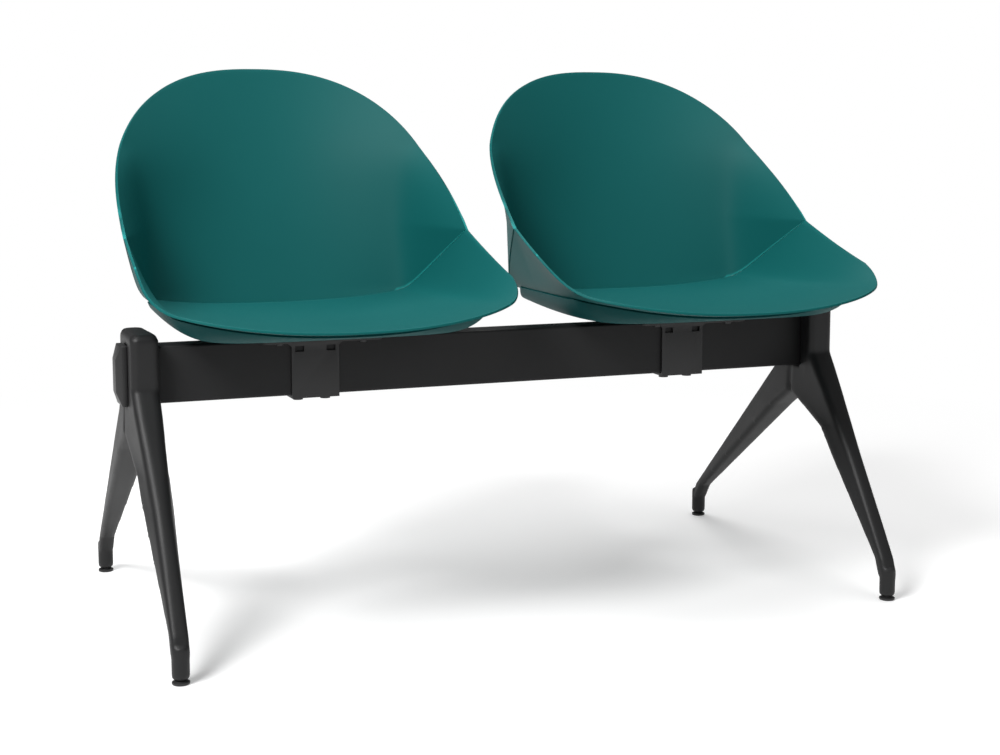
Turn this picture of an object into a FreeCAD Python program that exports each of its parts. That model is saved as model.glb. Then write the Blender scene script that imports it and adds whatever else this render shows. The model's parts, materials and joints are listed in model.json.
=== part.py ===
import FreeCAD, Part
import math
import os

import Sketcher

# Two-seat beam seating: two moulded shell seats on one rectangular beam,
# carried by two cast legs that stand on four screw-adjusted glides.
# Millimetres. X runs along the beam, -Y is the front, Z is up.
# The origin is on the floor, midway between the legs and between the feet.

Vector = FreeCAD.Vector
doc = FreeCAD.newDocument("BeamSeating")

# Driving dimensions

DRIVING_SIZES = {
    # whole object
    "seat_pitch": 580.0,
    "seat_offset": 7.5,
    "leg_spacing": 1052.6,
    "foot_spread": 592.6,
    # beam
    "beam_centre_y": -47.5,
    "beam_centre_height": 362.0,
    "beam_depth": 40.0,
    "beam_height": 80.0,
    "beam_wall": 2.5,
    "beam_corner": 4.0,
    "beam_clearance": 0.3,
    # cast legs
    "leg_front_wall": 33.0,
    "leg_rear_wall": 30.5,
    "leg_top_wall": 18.0,
    "leg_half_width": 18.35,
    "leg_rear_half_width": 16.0,
    "limb_half_width": 20.6,
    "leg_edge_round": 6.0,
    "arch_height": 279.0,
    "shoulder_height": 345.0,
    "rear_shoulder_height": 312.0,
    "ankle_radius": 10.5,
    "ankle_top": 48.0,
    "ankle_bottom": 7.0,
    # end caps
    "cap_rim": 8.0,
    "cap_bevel": 7.0,
    "cap_border": 1.5,
    "cap_bevel_inset": 10.0,
    "cap_bevel_drop": 19.0,
    "cap_spigot": 8.0,
    "cap_wall": 3.0,
    # screws that hold the legs on the beam
    "leg_screw_radius": 5.0,
    "leg_screw_head_radius": 8.0,
    "leg_screw_head": 9.0,
    "leg_screw_spacing": 44.0,
    "leg_screw_inset": 3.0,
    "nut_plate_thickness": 6.0,
    "nut_plate_width": 19.0,
    # saddles that clasp the beam under each seat
    "saddle_width": 69.0,
    "saddle_thickness": 3.5,
    "saddle_slot_spacing": 45.6,
    "saddle_slot_width": 13.0,
    "saddle_slot_height": 8.0,
    "saddle_slot_drop": 13.5,
    "saddle_flare": 11.0,
    "saddle_screw_radius": 4.0,
    "saddle_screw_spacing": 40.0,
    # plate under each seat
    "plate_width": 175.0,
    "plate_depth": 136.0,
    "plate_thickness": 6.0,
    "plate_corner": 12.0,
    "fit_gap": 0.3,
    # moulded seat, measured from the beam's middle and the top of the plate
    "rim_half_width": 253.3,
    "shell_thickness": 4.0,
    "lip_half_width": 257.5,
    "lip_reach": 259.5,
    "lip_height": 30.4,
    "lip_corner_reach": 150.0,
    "floor_low": 10.4,
    "floor_low_y": 20.0,
    "crease_reach": 207.5,
    "crease_height": 22.4,
    "apex_reach": 37.5,
    "apex_height": 137.2,
    "fold_front_half_width": 226.0,
    "fold_rear_half_width": 205.0,
    "fold_front_reach": 202.5,
    "fold_rear_reach": 179.5,
    "fold_front_height": 53.4,
    "fold_rear_height": 39.4,
    "fold_round": 5.0,
    "wing_slope": 2.2,
    "wing_reach": 202.5,
    "wing_middle_reach": 83.5,
    "wing_middle_height": 93.1,
    "wing_front_reach": 163.5,
    "wing_front_height": 69.5,
    "back_height": 377.1,
    "back_lean": 0.321,
    "back_thickness": 5.0,
    "back_low_edge": 6.0,
    "back_wrap_low": 36.0,
    "back_wrap_wide": 78.0,
    "back_wrap_top": 58.0,
    "back_wide_height": 238.0,
    "back_top_height": 345.0,
    "back_side_slope": 2.8,
    "back_side_fade": 125.0,
    "back_fold_round": 7.0,
    "tray_inset": 5.0,
    "tray_reach": 222.5,
    "tray_front_rise": 17.4,
    "tray_rear_rise": 10.0,
    "tray_thickness": 3.0,
    # screws that hold the seat
    "seat_screw_radius": 3.0,
    "seat_screw_head_radius": 5.5,
    "seat_screw_head": 3.5,
    "seat_screw_x": 60.0,
    "seat_screw_y": 55.0,
    "seat_spacer_radius": 9.0,
    "back_screw_radius": 2.1,
    "back_screw_x": 110.0,
    "back_screw_length": 18.0,
    "back_boss_width": 24.0,
    # levelling glides
    "glide_radius": 11.5,
    "glide_height": 5.2,
    "glide_base": 1.2,
    "glide_flange_radius": 6.5,
    "glide_flange": 2.0,
    "stem_radius": 4.0,
    "stem_length": 33.0,
    "stem_collar_radius": 6.0,
    "stem_bore_depth": 32.0,
    "running_clearance": 0.05,
}

sheet = doc.addObject("Spreadsheet::Sheet", "Sizes")
for row, (alias, value) in enumerate(DRIVING_SIZES.items(), start=1):
    sheet.set(f"A{row}", alias)
    sheet.set(f"B{row}", str(value))
    sheet.setAlias(f"B{row}", alias)
doc.recompute()


def size(alias):
    """One driving dimension, read from the sheet."""
    return float(sheet.get(alias))


# Places worked out from the sheet, as formulas that the objects are bound to

BEAM_TOP = "(Sizes.beam_centre_height + Sizes.beam_height / 2)"
BEAM_BOTTOM = "(Sizes.beam_centre_height - Sizes.beam_height / 2)"
BEAM_FRONT = "(Sizes.beam_centre_y - Sizes.beam_depth / 2)"
BEAM_REAR = "(Sizes.beam_centre_y + Sizes.beam_depth / 2)"
BEAM_LENGTH = "(Sizes.leg_spacing + 2 * Sizes.leg_half_width)"
PLATE_BOTTOM = f"({BEAM_TOP} + Sizes.fit_gap)"
PLATE_TOP = f"({PLATE_BOTTOM} + Sizes.plate_thickness)"
SEAT_SIDES = {"left": -1, "right": 1}
SEAT_CENTRE = {
    name: f"(Sizes.seat_offset + ({side}) * Sizes.seat_pitch / 2)"
    for name, side in SEAT_SIDES.items()
}
LEG_CENTRE = {
    name: f"(({side}) * Sizes.leg_spacing / 2)"
    for name, side in SEAT_SIDES.items()
}
FOOT_CORNERS = {
    "front_left": ("left", -1),
    "front_right": ("right", -1),
    "rear_left": ("left", 1),
    "rear_right": ("right", 1),
}
DIRECTIONS = {
    "x": FreeCAD.Rotation(Vector(0, 1, 0), 90),
    "y": FreeCAD.Rotation(Vector(1, 0, 0), -90),
    "z": FreeCAD.Rotation(),
}
sub_parts = []


# Small helpers

def place(item, position):
    """Bind an object's place to three formulas."""
    for axis, formula in zip("xyz", position):
        item.setExpression(f"Placement.Base.{axis}", str(formula))
    return item


def block(name, corner, extent):
    """A box from its lower corner and its three lengths."""
    item = doc.addObject("Part::Box", name)
    for side, formula in zip(("Length", "Width", "Height"), extent):
        item.setExpression(side, str(formula))
    return place(item, corner)


def rod(name, start, direction, radius, length):
    """A cylinder from its start, along +X, +Y or +Z."""
    item = doc.addObject("Part::Cylinder", name)
    item.Placement = FreeCAD.Placement(Vector(), DIRECTIONS[direction])
    item.setExpression("Radius", str(radius))
    item.setExpression("Height", str(length))
    return place(item, start)


def fused(name, pieces):
    item = doc.addObject("Part::MultiFuse", name)
    item.Shapes = pieces
    item.Refine = True
    return item


def drilled(name, base, tools):
    """The base with every tool cut out of it."""
    item = doc.addObject("Part::Cut", name)
    item.Base = base
    item.Tool = tools[0] if len(tools) == 1 else fused(f"{name}_tools", tools)
    item.Refine = True
    return item


def grouped(name, pieces):
    item = doc.addObject("Part::Compound", name)
    item.Links = pieces
    return item


def sub_part(item, label):
    """Mark an object as a sub-part, under the name of its file."""
    item.Label = label
    sub_parts.append(item)
    return item


def base_plane(body, role):
    """One of a body's own origin planes."""
    return next(item for item in body.Origin.OriginFeatures if item.Role == role)


def sketch_on(body, role, name):
    item = body.newObject("Sketcher::SketchObject", name)
    item.AttachmentSupport = [(base_plane(body, role), "")]
    item.MapMode = "FlatFace"
    return item


def centred_rectangle(sketch, width, height):
    """A rectangle about the sketch's origin, with its two lengths bound."""
    start = (Vector(-5, -5, 0), Vector(5, -5, 0), Vector(5, 5, 0), Vector(-5, 5, 0))
    for index in range(4):
        sketch.addGeometry(Part.LineSegment(start[index], start[(index + 1) % 4]))
    for index in range(4):
        following = (index + 1) % 4
        sketch.addConstraint(Sketcher.Constraint("Coincident", index, 2, following, 1))
        direction = "Vertical" if index % 2 else "Horizontal"
        sketch.addConstraint(Sketcher.Constraint(direction, index))
    sketch.addConstraint(Sketcher.Constraint("Symmetric", 0, 1, 2, 1, -1, 1))
    across = sketch.addConstraint(Sketcher.Constraint("DistanceX", 0, 1, 0, 2, 10.0))
    upward = sketch.addConstraint(Sketcher.Constraint("DistanceY", 1, 1, 1, 2, 10.0))
    sketch.setExpression(f"Constraints[{across}]", width)
    sketch.setExpression(f"Constraints[{upward}]", height)


def turned_body(name, outline, position):
    """A body turned about its own Z axis from (radius, height) formulas."""
    body = doc.addObject("PartDesign::Body", name)
    sketch = sketch_on(body, "XZ_Plane", f"{name}_outline")
    count = len(outline)
    rough = [Vector(5 + 4 * math.cos(2 * math.pi * i / count), 4 * math.sin(2 * math.pi * i / count), 0)
             for i in range(count)]
    for index in range(count):
        sketch.addGeometry(Part.LineSegment(rough[index], rough[(index + 1) % count]))
    for index in range(count):
        sketch.addConstraint(Sketcher.Constraint("Coincident", index, 2, (index + 1) % count, 1))
    for index, (radius, height) in enumerate(outline):
        for kind, formula in (("DistanceX", radius), ("DistanceY", height)):
            number = sketch.addConstraint(Sketcher.Constraint(kind, -1, 1, index, 1, 1.0))
            sketch.setExpression(f"Constraints[{number}]", formula)
    turned = body.newObject("PartDesign::Revolution", f"{name}_turned")
    turned.Profile = sketch
    turned.ReferenceAxis = (sketch, ["V_Axis"])
    turned.Angle = 360.0
    return place(body, position)


# Beam: a rectangular steel tube

def make_beam():
    body = doc.addObject("PartDesign::Body", "beam")
    outside = sketch_on(body, "YZ_Plane", "beam_outside")
    centred_rectangle(outside, "Sizes.beam_depth", "Sizes.beam_height")
    bar = body.newObject("PartDesign::Pad", "beam_bar")
    bar.Profile = outside
    bar.Midplane = True
    bar.setExpression("Length", BEAM_LENGTH)
    doc.recompute()
    long_edges = [
        f"Edge{index}"
        for index, edge in enumerate(bar.Shape.Edges, start=1)
        if abs(edge.tangentAt(edge.FirstParameter).x) > 0.99
    ]
    corners = body.newObject("PartDesign::Fillet", "beam_corners")
    corners.Base = (bar, long_edges)
    corners.setExpression("Radius", "Sizes.beam_corner")
    inside = sketch_on(body, "YZ_Plane", "beam_inside")
    centred_rectangle(
        inside,
        "Sizes.beam_depth - 2 * Sizes.beam_wall",
        "Sizes.beam_height - 2 * Sizes.beam_wall",
    )
    bore = body.newObject("PartDesign::Pocket", "beam_bore")
    bore.Profile = inside
    bore.Midplane = True
    bore.Type = "ThroughAll"
    place(body, (0, "Sizes.beam_centre_y", "Sizes.beam_centre_height"))
    return body


# Holes for the screws that cross the beam's wall

def leg_screw_positions(name, side):
    """Formulas for the X and Z of the two screws that hold one leg."""
    across = f"({LEG_CENTRE[name]} - ({side}) * Sizes.leg_screw_inset)"
    return [
        (across, f"(Sizes.beam_centre_height + ({step}) * Sizes.leg_screw_spacing / 2)")
        for step in (-1, 1)
    ]


def saddle_screw_positions(name):
    """Formulas for the X of the two screws under one saddle."""
    return [
        f"({SEAT_CENTRE[name]} + ({step}) * Sizes.saddle_screw_spacing / 2)"
        for step in (-1, 1)
    ]


def make_drilled_beam():
    holes = []
    for name, side in SEAT_SIDES.items():
        for number, (across, height) in enumerate(leg_screw_positions(name, side)):
            start = (across, f"{BEAM_REAR} - 2 * Sizes.beam_wall", height)
            holes.append(rod(
                f"beam_hole_{name}_{number}", start, "y",
                "Sizes.leg_screw_radius + Sizes.beam_clearance", "3 * Sizes.beam_wall",
            ))
        for number, across in enumerate(saddle_screw_positions(name)):
            start = (across, "Sizes.beam_centre_y", f"{BEAM_BOTTOM} - Sizes.beam_wall")
            holes.append(rod(
                f"beam_saddle_hole_{name}_{number}", start, "z",
                "Sizes.saddle_screw_radius + Sizes.beam_clearance", "3 * Sizes.beam_wall",
            ))
    sub_part(drilled("beam_drilled", make_beam(), holes), "beam_tube")


# Cast legs: an upright that holds the beam, and two limbs that taper to the feet

def between(place_now, first, last, first_value, last_value):
    """The value on the straight line between two (place, value) pairs, held beyond them."""
    share = min(1.0, max(0.0, (place_now - first) / (last - first)))
    return first_value + (last_value - first_value) * share


def leg_section(height, front, rear, front_half, rear_half, corner):
    """A closed eight-sided outline across a limb, with its four corners cut."""
    half_outline = [
        (front_half - corner, front),
        (front_half, front + corner),
        (rear_half, rear - corner),
        (rear_half - corner, rear),
    ]
    points = [Vector(across, along, height) for across, along in half_outline]
    points += [Vector(-point.x, point.y, point.z) for point in reversed(points)]
    return Part.makePolygon(points + points[:1])


def leg_shape():
    foot = size("foot_spread") / 2
    ankle = size("ankle_radius")
    ankle_top = size("ankle_top")
    arch = size("arch_height")
    shoulder = size("shoulder_height")
    rear_shoulder = size("rear_shoulder_height")
    beam_y = size("beam_centre_y")
    front_face = beam_y - size("beam_depth") / 2 - size("leg_front_wall")
    rear_face = beam_y + size("beam_depth") / 2 + size("leg_rear_wall")
    leg_top = size("beam_centre_height") + size("beam_height") / 2 + size("leg_top_wall")
    wide = size("limb_half_width")
    upright_half = size("leg_half_width")
    rear_half = size("leg_rear_half_width")
    corner = size("leg_edge_round")
    crown = beam_y + corner
    haunch = arch - 44.0
    bow = 4.0

    def corner_at(height):
        return between(height, ankle_top, haunch, 3.0, corner)

    def front_limb(height):
        climb = between(height, ankle_top, shoulder, 0.0, 1.0)
        outer = between(height, ankle_top, shoulder, -foot - ankle + 2.0, front_face)
        outer -= bow * 4 * climb * (1 - climb)
        inner = between(height, ankle_top, haunch, -foot + ankle, crown - 90.0)
        if height > haunch:
            inner = between(height, haunch, arch, crown - 90.0, crown)
        outer_half = between(height, 190.0, 325.0, ankle + 0.4, upright_half)
        inner_half = between(height, 60.0, 210.0, ankle, wide)
        if height > arch:
            inner_half = between(height, arch, shoulder, wide, rear_half + 1.0)
        return leg_section(height, outer, inner, outer_half, inner_half, corner_at(height))

    def rear_limb(height):
        outer = between(height, ankle_top, rear_shoulder, foot + ankle - 3.0, rear_face + 10.0)
        if height > rear_shoulder:
            outer = between(height, rear_shoulder, shoulder, rear_face + 10.0, rear_face)
        inner = between(height, ankle_top, haunch + 14.0, foot - ankle, crown + 49.0)
        if height > haunch + 14.0:
            inner = between(height, haunch + 14.0, arch, crown + 49.0, crown)
        outer_half = between(height, 60.0, 330.0, ankle - 1.5, upright_half)
        if height > rear_shoulder:
            outer_half = between(height, rear_shoulder, shoulder, upright_half - 1.0, rear_half)
        inner_half = between(height, 60.0, 250.0, ankle, wide)
        if height > arch:
            inner_half = between(height, arch, shoulder, wide, rear_half + 1.0)
        return leg_section(height, inner, outer, inner_half, outer_half, corner_at(height))

    low = [ankle_top - 12.0, 60.0, 100.0, 150.0, 200.0, haunch]
    high = [haunch + 14.0, haunch + 30.0, arch, rear_shoulder, shoulder]
    front = Part.makeLoft([front_limb(height) for height in low + high], True, True)
    rear = Part.makeLoft([rear_limb(height) for height in low + high], True, True)
    upright = Part.makeLoft(
        [
            leg_section(arch + 12.0, front_face + 14.0, rear_face, upright_half, rear_half, corner),
            leg_section(shoulder, front_face, rear_face, upright_half, rear_half, corner),
            leg_section(leg_top - corner, front_face, rear_face, upright_half, rear_half, corner),
            leg_section(
                leg_top, front_face + corner, rear_face - corner / 2,
                upright_half - corner / 2, rear_half - corner / 2, corner,
            ),
        ],
        True,
        True,
    )
    pieces = [rear, upright]
    bottom = size("ankle_bottom")
    bores = []
    for end in (-1, 1):
        pieces.append(Part.makeCylinder(ankle, ankle_top - bottom, Vector(0, end * foot, bottom)))
        bores.append(Part.makeCylinder(
            size("stem_radius") + size("running_clearance"),
            size("stem_bore_depth"),
            Vector(0, end * foot, bottom),
        ))
    return front.fuse(pieces).removeSplitter(), bores


def make_leg(name, side):
    casting, glide_bores = leg_shape()
    for bore in glide_bores:
        casting = casting.cut(bore)
    cast = doc.addObject("Part::Feature", f"leg_casting_{name}")
    cast.Shape = casting
    place(cast, (LEG_CENTRE[name], 0, 0))
    clearance = "Sizes.beam_clearance"
    socket = block(
        f"leg_socket_{name}",
        (f"{LEG_CENTRE[name]} - 2 * Sizes.leg_half_width",
         f"{BEAM_FRONT} - {clearance}",
         f"{BEAM_BOTTOM} - {clearance}"),
        ("4 * Sizes.leg_half_width",
         f"Sizes.beam_depth + 2 * {clearance}",
         f"Sizes.beam_height + 2 * {clearance}"),
    )
    tools = [socket]
    for number, (across, height) in enumerate(leg_screw_positions(name, side)):
        tools.append(rod(
            f"leg_hole_{name}_{number}", (across, "Sizes.beam_centre_y", height), "y",
            "Sizes.leg_screw_radius + Sizes.beam_clearance",
            "Sizes.beam_depth / 2 + Sizes.leg_rear_wall + 20",
        ))
        tools.append(rod(
            f"leg_sink_{name}_{number}",
            (across, f"{BEAM_REAR} + Sizes.leg_rear_wall - Sizes.leg_screw_head - 1", height), "y",
            "Sizes.leg_screw_head_radius + Sizes.beam_clearance",
            "Sizes.leg_screw_head + 30",
        ))
    sub_part(drilled(f"leg_bored_{name}", cast, tools), f"leg_{name}")


# End caps that close the beam's two ends

def make_end_cap(name, side):
    outer_face = f"(({side}) * {BEAM_LENGTH} / 2)"
    depth = "(Sizes.beam_depth + 2 * Sizes.cap_border)"
    height = "(Sizes.beam_height + 2 * Sizes.cap_border)"
    inner_depth = "(Sizes.beam_depth - 2 * Sizes.beam_wall - 2 * Sizes.beam_clearance)"
    inner_height = "(Sizes.beam_height - 2 * Sizes.beam_wall - 2 * Sizes.beam_clearance)"
    start = f"min({outer_face} ; {outer_face} + ({side}) * Sizes.cap_rim) + ({side}) * Sizes.fit_gap"
    rim = block(
        f"cap_rim_{name}",
        (start, f"Sizes.beam_centre_y - {depth} / 2", f"Sizes.beam_centre_height - {height} / 2"),
        ("Sizes.cap_rim", depth, height),
    )
    bevel = doc.addObject("Part::Wedge", f"cap_bevel_{name}")
    limits = {
        "Xmin": f"-{height} / 2", "Xmax": f"{height} / 2",
        "Zmin": f"-{depth} / 2", "Zmax": f"{depth} / 2",
        "X2min": f"-{height} / 2 + Sizes.cap_bevel_drop", "X2max": f"{height} / 2 - Sizes.cap_bevel_drop",
        "Z2min": f"-{depth} / 2 + Sizes.cap_bevel_inset", "Z2max": f"{depth} / 2 - Sizes.cap_bevel_inset",
        "Ymin": "0", "Ymax": "Sizes.cap_bevel",
    }
    for limit, formula in limits.items():
        bevel.setExpression(limit, formula)
    facing = FreeCAD.Rotation(Vector(0, 0, 1), -90 * side)
    bevel.Placement = FreeCAD.Placement(
        Vector(), facing.multiply(FreeCAD.Rotation(Vector(0, 1, 0), 90)))
    place(bevel, (
        f"{outer_face} + ({side}) * (Sizes.cap_rim + Sizes.fit_gap)",
        "Sizes.beam_centre_y",
        "Sizes.beam_centre_height",
    ))
    spigot_start = f"min({outer_face} ; {outer_face} - ({side}) * Sizes.cap_spigot) + ({side}) * Sizes.fit_gap"
    spigot = block(
        f"cap_spigot_{name}",
        (spigot_start,
         f"Sizes.beam_centre_y - {inner_depth} / 2",
         f"Sizes.beam_centre_height - {inner_height} / 2"),
        ("Sizes.cap_spigot", inner_depth, inner_height),
    )
    solid = fused(f"cap_solid_{name}", [rim, bevel, spigot])
    hollow = block(
        f"cap_hollow_{name}",
        (f"{spigot_start} - Sizes.cap_wall + ({side}) * Sizes.cap_wall",
         f"Sizes.beam_centre_y - {inner_depth} / 2 + Sizes.cap_wall",
         f"Sizes.beam_centre_height - {inner_height} / 2 + Sizes.cap_wall"),
        ("Sizes.cap_spigot + 2 * Sizes.cap_wall",
         f"{inner_depth} - 2 * Sizes.cap_wall",
         f"{inner_height} - 2 * Sizes.cap_wall"),
    )
    sub_part(drilled(f"cap_moulded_{name}", solid, [hollow]), f"end_cap_{name}")


# Socket screws and nut plate that hold each leg on the beam

def make_leg_fixings(name, side):
    positions = leg_screw_positions(name, side)
    seat_face = f"({BEAM_REAR} + Sizes.leg_rear_wall - Sizes.leg_screw_head - 1)"
    tip = f"({BEAM_REAR} - Sizes.beam_wall - Sizes.fit_gap - Sizes.nut_plate_thickness)"
    screws = []
    plate = block(
        f"leg_nut_blank_{name}",
        (f"{positions[0][0]} - Sizes.nut_plate_width / 2",
         tip,
         "Sizes.beam_centre_height - Sizes.leg_screw_spacing / 2 - 10"),
        ("Sizes.nut_plate_width", "Sizes.nut_plate_thickness", "Sizes.leg_screw_spacing + 20"),
    )
    holes = []
    for number, (across, height) in enumerate(positions):
        shank = rod(f"leg_screw_shank_{name}_{number}", (across, tip, height), "y",
                    "Sizes.leg_screw_radius", f"{seat_face} - {tip} + 1")
        head = rod(f"leg_screw_head_{name}_{number}", (across, seat_face, height), "y",
                   "Sizes.leg_screw_head_radius", "Sizes.leg_screw_head")
        screws.append(fused(f"leg_screw_{name}_{number}", [shank, head]))
        holes.append(rod(f"leg_nut_hole_{name}_{number}", (across, f"{tip} - 1", height), "y",
                         "Sizes.leg_screw_radius + Sizes.running_clearance",
                         "Sizes.nut_plate_thickness + 2"))
    sub_part(grouped(f"leg_screw_pair_{name}", screws), f"leg_screws_{name}")
    sub_part(drilled(f"leg_nut_{name}", plate, holes), f"leg_nut_plate_{name}")


# Saddle: folded steel that clasps the beam from below, with flared upper edges

def flare_edge(poles):
    curve = Part.BezierCurve()
    curve.setPoles(poles)
    return curve.toShape()


def saddle_wall_shape():
    """One upright wall of the saddle, in its own XZ plane, from its lower edge."""
    half = size("saddle_width") / 2
    wide = size("plate_width") / 2 - size("plate_corner")
    flare = size("saddle_flare")
    thick = size("saddle_thickness")
    top = size("beam_height") + thick + size("fit_gap") * 2
    lower = Vector(half, 0, top - flare)
    upper = Vector(wide, 0, top)
    swing = flare_edge([lower, Vector(half + 4.0, 0, top - 1.5), upper])
    swing_left = flare_edge([
        Vector(-wide, 0, top), Vector(-half - 4.0, 0, top - 1.5), Vector(-half, 0, top - flare),
    ])
    edges = [
        Part.makeLine(Vector(-half, 0, 0), Vector(half, 0, 0)),
        Part.makeLine(Vector(half, 0, 0), lower),
        swing,
        Part.makeLine(upper, Vector(-wide, 0, top)),
        swing_left,
        Part.makeLine(Vector(-half, 0, top - flare), Vector(-half, 0, 0)),
    ]
    return Part.Face(Part.Wire(edges)).extrude(Vector(0, thick, 0))


def make_saddle(name):
    centre = SEAT_CENTRE[name]
    gap = "Sizes.fit_gap"
    thick = "Sizes.saddle_thickness"
    bottom = f"{BEAM_BOTTOM} - {gap} - {thick}"
    walls = []
    for position, start in (("front", f"{BEAM_FRONT} - {gap} - {thick}"), ("rear", f"{BEAM_REAR} + {gap}")):
        wall = doc.addObject("Part::Feature", f"saddle_{position}_{name}")
        wall.Shape = saddle_wall_shape()
        place(wall, (centre, start, bottom))
        walls.append(wall)
    floor = block(
        f"saddle_floor_{name}",
        (f"{centre} - Sizes.saddle_width / 2", f"{BEAM_FRONT} - {gap} - {thick}", bottom),
        ("Sizes.saddle_width", f"Sizes.beam_depth + 2 * ({gap} + {thick})", thick),
    )
    folded = fused(f"saddle_folded_{name}", walls + [floor])
    cuts = []
    for number, step in enumerate((-1, 1)):
        cuts.append(block(
            f"saddle_slot_{name}_{number}",
            (f"{centre} + ({step}) * Sizes.saddle_slot_spacing / 2 - Sizes.saddle_slot_width / 2",
             f"{BEAM_FRONT} - 3 * {thick}",
             f"{BEAM_TOP} - Sizes.saddle_slot_drop - Sizes.saddle_slot_height / 2"),
            ("Sizes.saddle_slot_width", f"3 * {thick}", "Sizes.saddle_slot_height"),
        ))
    for number, across in enumerate(saddle_screw_positions(name)):
        cuts.append(rod(
            f"saddle_hole_{name}_{number}", (across, "Sizes.beam_centre_y", f"{bottom} - 1"), "z",
            "Sizes.saddle_screw_radius + Sizes.beam_clearance", f"{thick} + 2",
        ))
    sub_part(drilled(f"saddle_pierced_{name}", folded, cuts), f"saddle_{name}")


def make_saddle_fixings(name):
    under = f"({BEAM_BOTTOM} - Sizes.fit_gap - Sizes.saddle_thickness)"
    inner = f"({BEAM_BOTTOM} + Sizes.beam_wall + Sizes.fit_gap)"
    plate = block(
        f"saddle_nut_blank_{name}",
        (f"{SEAT_CENTRE[name]} - Sizes.saddle_screw_spacing / 2 - 10",
         "Sizes.beam_centre_y - 10",
         inner),
        ("Sizes.saddle_screw_spacing + 20", "20", "Sizes.nut_plate_thickness"),
    )
    screws = []
    holes = []
    for number, across in enumerate(saddle_screw_positions(name)):
        shank = rod(f"saddle_screw_shank_{name}_{number}", (across, "Sizes.beam_centre_y", f"{under} - 1"),
                    "z", "Sizes.saddle_screw_radius",
                    f"{inner} - {under} + Sizes.nut_plate_thickness + 1")
        head = rod(f"saddle_screw_head_{name}_{number}",
                   (across, "Sizes.beam_centre_y", f"{under} - 5"), "z",
                   "1.8 * Sizes.saddle_screw_radius", "5")
        screws.append(fused(f"saddle_screw_{name}_{number}", [shank, head]))
        holes.append(rod(f"saddle_nut_hole_{name}_{number}", (across, "Sizes.beam_centre_y", f"{inner} - 1"),
                         "z", "Sizes.saddle_screw_radius + Sizes.running_clearance",
                         "Sizes.nut_plate_thickness + 2"))
    sub_part(grouped(f"saddle_screw_pair_{name}", screws), f"saddle_screws_{name}")
    sub_part(drilled(f"saddle_nut_{name}", plate, holes), f"saddle_nut_plate_{name}")


# Plate under the seat

def seat_screw_places():
    """X and Y of the four seat screws from the beam's middle."""
    reach_x = size("seat_screw_x")
    reach_y = size("seat_screw_y")
    return [(step_x * reach_x, step_y * reach_y) for step_x in (-1, 1) for step_y in (-1, 1)]


def make_support_plate(name):
    body = doc.addObject("PartDesign::Body", f"plate_{name}")
    outline = sketch_on(body, "XY_Plane", f"plate_outline_{name}")
    centred_rectangle(outline, "Sizes.plate_width", "Sizes.plate_depth")
    pad = body.newObject("PartDesign::Pad", f"plate_pad_{name}")
    pad.Profile = outline
    pad.setExpression("Length", "Sizes.plate_thickness")
    doc.recompute()
    upright_edges = [
        f"Edge{index}"
        for index, edge in enumerate(pad.Shape.Edges, start=1)
        if abs(edge.tangentAt(edge.FirstParameter).z) > 0.99
    ]
    corners = body.newObject("PartDesign::Fillet", f"plate_corners_{name}")
    corners.Base = (pad, upright_edges)
    corners.setExpression("Radius", "Sizes.plate_corner")
    place(body, (SEAT_CENTRE[name], "Sizes.beam_centre_y", PLATE_BOTTOM))
    holes = []
    for number, (step_x, step_y) in enumerate(((-1, -1), (-1, 1), (1, -1), (1, 1))):
        holes.append(rod(
            f"plate_hole_{name}_{number}",
            (f"{SEAT_CENTRE[name]} + ({step_x}) * Sizes.seat_screw_x",
             f"Sizes.beam_centre_y + ({step_y}) * Sizes.seat_screw_y",
             f"{PLATE_BOTTOM} - 1"),
            "z", "Sizes.seat_screw_radius + Sizes.beam_clearance", "Sizes.plate_thickness + 2",
        ))
    sub_part(drilled(f"plate_drilled_{name}", body, holes), f"support_plate_{name}")


# Moulded seat. Every height is above the plate, every Y is from the beam's middle.

# Where the columns of points stand, as shares of the seat's half width at its
# fold, of the way from the fold to the rim, and of the back's half width.
FLOOR_SHARES = (0.0, 0.32, 0.58, 0.77, 0.89, 0.955, 0.985)
WING_SHARES = (0.06, 0.2, 0.38, 0.6, 0.8, 1.0)
BACK_SHARES = (0.0, 0.22, 0.44, 0.63, 0.8, 0.9, 0.96, 1.0, 1.04, 1.085, 1.14, 1.21, 1.28)
TRAY_SHARES = (0.0, 0.32, 0.56, 0.72, 0.83, 0.91, 0.965, 1.01, 1.05)

# How square the rounded outlines are: 2 is an ellipse, more is squarer.
LIP_POWER = 2.6
RIM_POWER = 2.43

# How late the seat's floor and the tray's floor turn up towards their sides.
DISH_POWER = 2.2
TRAY_POWER = 8

# How far the space behind the back reaches, when it is cut from the seat.
BEHIND_BACK = 30.0

# How far a surface runs on past its edge before it is trimmed.
BEYOND_RIM = 14.0


def skin(rows):
    """A smooth face through rows of points."""
    surface = Part.BSplineSurface()
    surface.interpolate(rows)
    return surface.toShape()


def thickened(face, thickness):
    """The solid between a face and its copy at a distance."""
    solid = face.makeOffsetShape(thickness, 0.01, fill=True)
    if solid.ShapeType != "Solid":
        solid = Part.Solid(solid.Shells[0])
    if solid.Volume < 0:
        solid.reverse()
    return solid


def largest(shape):
    """The biggest solid that a cut has left."""
    return max(shape.Solids, key=lambda solid: solid.Volume)


def floor_height(along):
    """The seat's centre line: lowest near the sitter's hips, rising to the lip and the crease."""
    low_y = size("floor_low_y")
    low = size("floor_low")
    if along < low_y:
        share = (low_y - along) / (low_y + size("lip_reach"))
        return low + (size("lip_height") - low) * share ** 2
    share = (along - low_y) / (size("crease_reach") - low_y)
    return low + (size("crease_height") - low) * share ** 2


def soft_bend(distance, width):
    """A rounded corner between a flat line and one that rises at 45 degrees."""
    return width * math.log(1 + math.exp(distance / width))


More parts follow.
